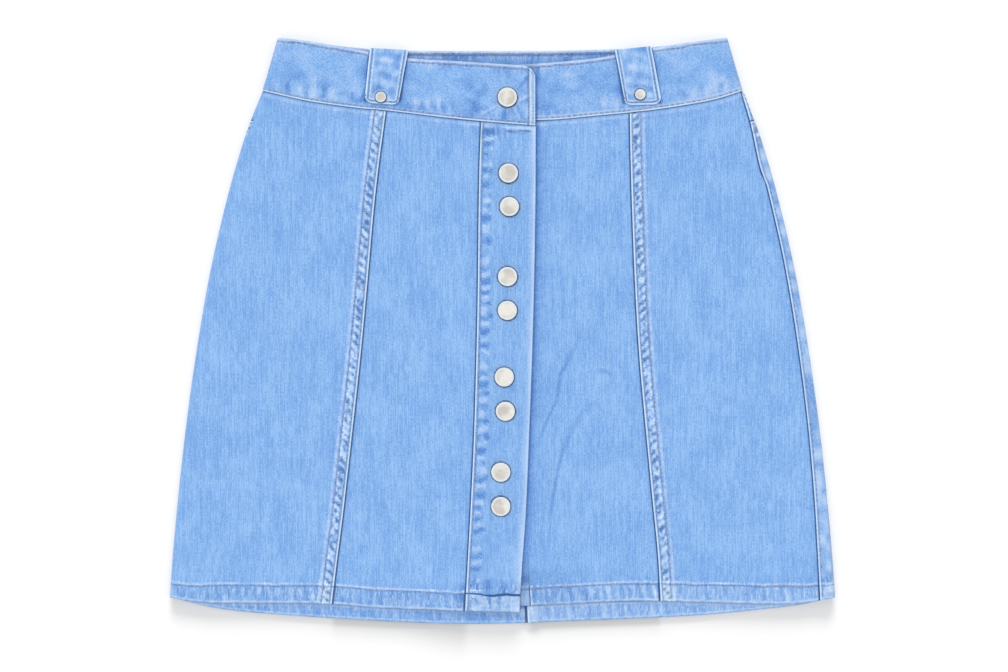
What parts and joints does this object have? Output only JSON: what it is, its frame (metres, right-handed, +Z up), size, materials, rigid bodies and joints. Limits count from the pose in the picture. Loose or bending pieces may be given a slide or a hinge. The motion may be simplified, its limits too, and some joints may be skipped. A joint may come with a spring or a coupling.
{
  "type": "denim skirt",
  "caption": "Light blue A-line denim mini skirt with a snap-fastened front placket, princess seams and wide belt loops, fastened and laid flat on its back.",
  "frame": {"origin": "under the middle of the skirt's outline, on the surface that it lies on", "axes": "+X towards the wearer's left, +Y towards the waist, +Z up out of the front"},
  "size_m": [0.4995, 0.438, 0.0119],
  "materials": {
    "denim": "washed light blue denim",
    "snap": "satin nickel"
  },
  "bodies": {
    "root": {"front_side_right": "denim", "front_side_left": "denim", "front_centre_right": "denim", "front_centre_left": "denim", "placket_right": "denim", "placket_left": "denim", "yoke_right": "denim", "yoke_left": "denim", "back_right": "denim", "back_left": "denim", "waistband_right_front": "denim", "waistband_left_front": "denim", "waistband_back": "denim", "belt_loop_right": "denim", "belt_loop_left": "denim", "snap_placket_1": "snap", "snap_placket_2": "snap", "snap_placket_3": "snap", "snap_placket_4": "snap", "snap_placket_5": "snap", "snap_placket_6": "snap", "snap_placket_7": "snap", "snap_placket_8": "snap", "snap_waistband": "snap", "snap_loop_right": "snap", "snap_loop_left": "snap"}
  },
  "joints": []
}
